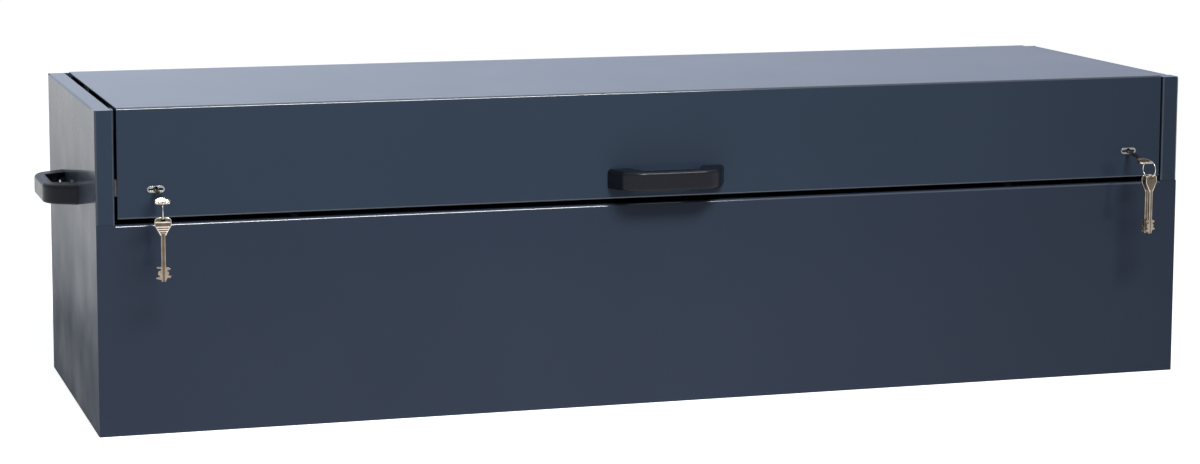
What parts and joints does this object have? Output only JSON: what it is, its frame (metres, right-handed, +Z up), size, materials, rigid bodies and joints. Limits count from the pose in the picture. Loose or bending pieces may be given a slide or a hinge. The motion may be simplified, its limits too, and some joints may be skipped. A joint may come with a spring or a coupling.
{
  "type": "site tool vault",
  "caption": "Long steel tool vault with a wrap-over lid, end cheeks, side-throwing key locks, moulded bridge handles and gas struts.",
  "frame": {"origin": "centre of the underside of the vault, on the surface that it stands on", "axes": "+X to the vault's right seen from the front, +Y to the back, +Z up"},
  "size_m": [1.9096, 0.6418, 0.503],
  "materials": {
    "paint": "semi-gloss blue-grey powder coat",
    "zinc": "bright zinc plate",
    "nickel": "pale nickel over brass",
    "moulding": "satin charcoal moulding",
    "rubber": "matt",
    "strut": "satin black"
  },
  "bodies": {
    "carcass": {"floor_pan": "paint", "front_panel": "paint", "back_panel": "paint", "side_panel_left": "paint", "side_panel_right": "paint", "cheek_liner_left": "paint", "cheek_liner_right": "paint", "keeper_plate_left": "zinc", "keeper_plate_right": "zinc", "lid_buffer_left": "rubber", "lid_buffer_right": "rubber", "hinge_fixed_leaf": "paint", "hinge_pin": "zinc", "side_handle_left": "moulding", "side_handle_left_screw_1": "zinc", "side_handle_left_screw_2": "zinc", "side_handle_right": "moulding", "side_handle_right_screw_1": "zinc", "side_handle_right_screw_2": "zinc", "strut_bracket_left": "zinc", "strut_bracket_right": "zinc"},
    "lid": {"lid_skin": "paint", "lid_rib_left": "paint", "lid_rib_centre": "paint", "lid_rib_right": "paint", "lid_front_rail": "paint", "hinge_moving_leaf": "paint", "lock_case_left": "zinc", "lock_case_right": "zinc", "escutcheon_left": "zinc", "escutcheon_right": "zinc", "lid_handle": "moulding", "lid_handle_screw_1": "zinc", "lid_handle_screw_2": "zinc", "lid_stud_left": "zinc", "lid_stud_right": "zinc"},
    "bolt_left": {"lock_bolt_left": "zinc"},
    "bolt_right": {"lock_bolt_right": "zinc"},
    "lock_key_left": {"key_left": "nickel", "key_ring_left": "nickel"},
    "lock_key_right": {"key_right": "nickel", "key_ring_right": "nickel"},
    "hanging_key_left": {"spare_key_left": "nickel"},
    "hanging_key_right_1": {"spare_key_right_1": "nickel"},
    "hanging_key_right_2": {"spare_key_right_2": "nickel"},
    "strut_left_tube": {"strut_tube_left": "strut"},
    "strut_left_rod": {"strut_rod_left": "zinc"},
    "strut_right_tube": {"strut_tube_right": "strut"},
    "strut_right_rod": {"strut_rod_right": "zinc"}
  },
  "joints": [
    {"name": "lid_hinge", "type": "hinge", "parent": "carcass", "child": "lid", "pos_m": [0, 0.2702, 0.4957], "axis": [-1, 0, 0], "range_deg": [0, 85]},
    {"name": "strut_swing_left", "type": "hinge", "parent": "carcass", "child": "strut_left_tube", "pos_m": [-0.855, 0.2402, 0.4197], "axis": [-1, 0, 0], "range_deg": [0, 70]},
    {"name": "strut_slide_left", "type": "slide", "parent": "strut_left_tube", "child": "strut_left_rod", "axis": [0, -0.9504, 0.311], "range_m": [0, 0.09498]},
    {"name": "strut_swing_right", "type": "hinge", "parent": "carcass", "child": "strut_right_tube", "pos_m": [0.855, 0.2402, 0.4197], "axis": [-1, 0, 0], "range_deg": [0, 70]},
    {"name": "strut_slide_right", "type": "slide", "parent": "strut_right_tube", "child": "strut_right_rod", "axis": [0, -0.9504, 0.311], "range_m": [0, 0.09498]},
    {"name": "key_turn_left", "type": "hinge", "parent": "lid", "child": "lock_key_left", "pos_m": [-0.814, -0.2775, 0.378], "axis": [0, -0.9981, -0.061], "range_deg": [0, 90]},
    {"name": "bolt_throw_left", "type": "slide", "parent": "lid", "child": "bolt_left", "axis": [-1, 0, 0], "range_m": [0, 0.0181]},
    {"name": "key_turn_right", "type": "hinge", "parent": "lid", "child": "lock_key_right", "pos_m": [0.814, -0.2775, 0.378], "axis": [0, 0.9981, 0.061], "range_deg": [0, 90]},
    {"name": "bolt_throw_right", "type": "slide", "parent": "lid", "child": "bolt_right", "axis": [1, 0, 0], "range_m": [0, 0.0181]},
    {"name": "spare_hang_left", "type": "hinge", "parent": "lock_key_left", "child": "hanging_key_left", "pos_m": [-0.81516, -0.35, 0.34244], "axis": [0, -0.9981, -0.061], "range_deg": [-90, 0]},
    {"name": "spare_hang_right_1", "type": "hinge", "parent": "lock_key_right", "child": "hanging_key_right_1", "pos_m": [0.81493, -0.34524, 0.34326], "axis": [0, 0.9981, 0.061], "range_deg": [-90, 0]},
    {"name": "spare_hang_right_2", "type": "hinge", "parent": "lock_key_right", "child": "hanging_key_right_2", "pos_m": [0.81813, -0.35405, 0.34326], "axis": [0, 0.9981, 0.061], "range_deg": [-90, 0]}
  ],
  "couplings": [
    {"joint": "strut_swing_left", "follows": "lid_hinge", "ratio": 0.82329},
    {"joint": "strut_slide_left", "follows": "lid_hinge", "m_per_rad": 0.063956},
    {"joint": "strut_swing_right", "follows": "lid_hinge", "ratio": 0.82329},
    {"joint": "strut_slide_right", "follows": "lid_hinge", "m_per_rad": 0.063956},
    {"joint": "bolt_throw_left", "follows": "key_turn_left", "m_per_rad": 0.011459},
    {"joint": "bolt_throw_right", "follows": "key_turn_right", "m_per_rad": 0.011459},
    {"joint": "spare_hang_left", "follows": "key_turn_left", "ratio": -1},
    {"joint": "spare_hang_right_1", "follows": "key_turn_right", "ratio": -1},
    {"joint": "spare_hang_right_2", "follows": "key_turn_right", "ratio": -1}
  ]
}
